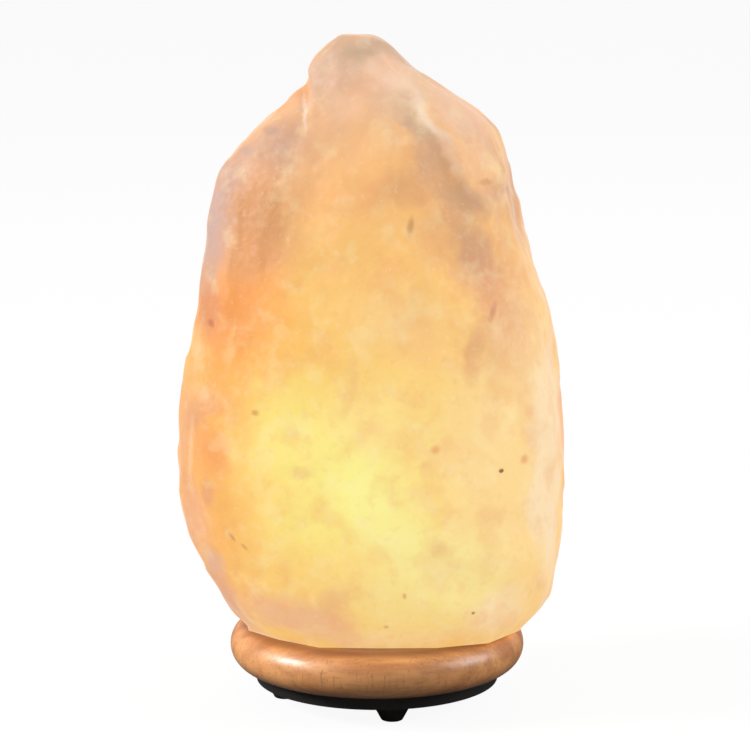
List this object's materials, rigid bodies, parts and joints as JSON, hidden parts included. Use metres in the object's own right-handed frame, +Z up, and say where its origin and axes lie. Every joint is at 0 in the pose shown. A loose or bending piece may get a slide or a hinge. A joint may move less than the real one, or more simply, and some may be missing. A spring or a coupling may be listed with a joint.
{
  "type": "salt crystal lamp",
  "caption": "Hewn rock salt block lit from inside, on a round-edged turned wood base with a black footed plate and a pull-out lampholder.",
  "frame": {"origin": "on the table, on the axis of the turned base, midway between the four feet; the crystal's outline is centred on that axis within 1 mm", "axes": "+Z up along the axis of the base and the bulb; +X to the right as seen from the front; the front faces -Y and the cord inlet faces +Y"},
  "size_m": [0.1339, 0.1178, 0.2292],
  "materials": {
    "rock_salt": "hewn, translucent, softly sparkling, lit from inside",
    "beech": "turned, thin clear satin lacquer",
    "black_plastic": "moulded satin black",
    "black_rubber": "matt black",
    "zinc_steel": "bright zinc plate",
    "spring_steel": "rolled strip, nickel plated",
    "nylon": "natural moulded nylon",
    "phenolic": "moulded brown phenolic",
    "brass": "pressed brass strip",
    "solder": "dull solder",
    "black_glass": "glossy black insulating glass",
    "clear_glass": "clear blown glass",
    "nickel_wire": "drawn wire",
    "tungsten": "glowing coil"
  },
  "bodies": {
    "lamp": {"salt_crystal": "rock_salt", "wood_base": "beech", "base_plate": "black_plastic", "foot_front": "black_rubber", "foot_right": "black_rubber", "foot_rear": "black_rubber", "foot_left": "black_rubber", "foot_screws": "zinc_steel", "crystal_screws": "zinc_steel", "crystal_plugs": "nylon", "cord_bushing": "black_plastic"},
    "lampholder": {"carrier_cap": "black_plastic", "holder_screws": "zinc_steel", "clip_bracket": "spring_steel", "clip_rivet": "zinc_steel", "holder_body": "phenolic", "screw_shell": "brass", "centre_contact": "brass", "live_terminal": "brass", "neutral_terminal": "brass", "contact_rivets": "brass", "terminal_screws": "brass"},
    "left_wing": {"clip_wing_left": "spring_steel"},
    "right_wing": {"clip_wing_right": "spring_steel"},
    "bulb_foot": {"tip_contact": "solder"},
    "bulb": {"cap_insulator": "black_glass", "bulb_cap": "brass", "bulb_glass": "clear_glass", "bulb_stem": "clear_glass", "bulb_leads": "nickel_wire", "bulb_filament": "tungsten", "bulb_supports": "nickel_wire"}
  },
  "joints": [
    {"name": "holder_slide", "type": "slide", "parent": "lamp", "child": "lampholder", "axis": [0, 0, -1], "range_m": [0, 0.1]},
    {"name": "left_wing_flex", "type": "hinge", "parent": "lampholder", "child": "left_wing", "pos_m": [-0.0164, 0, 0.0222], "axis": [0, 1, 0], "range_deg": [0, 8], "stiffness_Nm_per_rad": 0.8, "springref_deg": -2.86},
    {"name": "right_wing_flex", "type": "hinge", "parent": "lampholder", "child": "right_wing", "pos_m": [0.0164, 0, 0.0222], "axis": [0, -1, 0], "range_deg": [0, 8], "stiffness_Nm_per_rad": 0.8, "springref_deg": -2.86},
    {"name": "bulb_turn", "type": "hinge", "parent": "bulb_foot", "child": "bulb", "pos_m": [0, 0, 0.0332], "axis": [0, 0, 1], "range_deg": [0, 1080]},
    {"name": "bulb_rise", "type": "slide", "parent": "lampholder", "child": "bulb_foot", "axis": [0, 0, 1], "range_m": [0, 0.0077]}
  ],
  "couplings": [
    {"joint": "bulb_rise", "follows": "bulb_turn", "m_per_rad": 0.00040425}
  ]
}
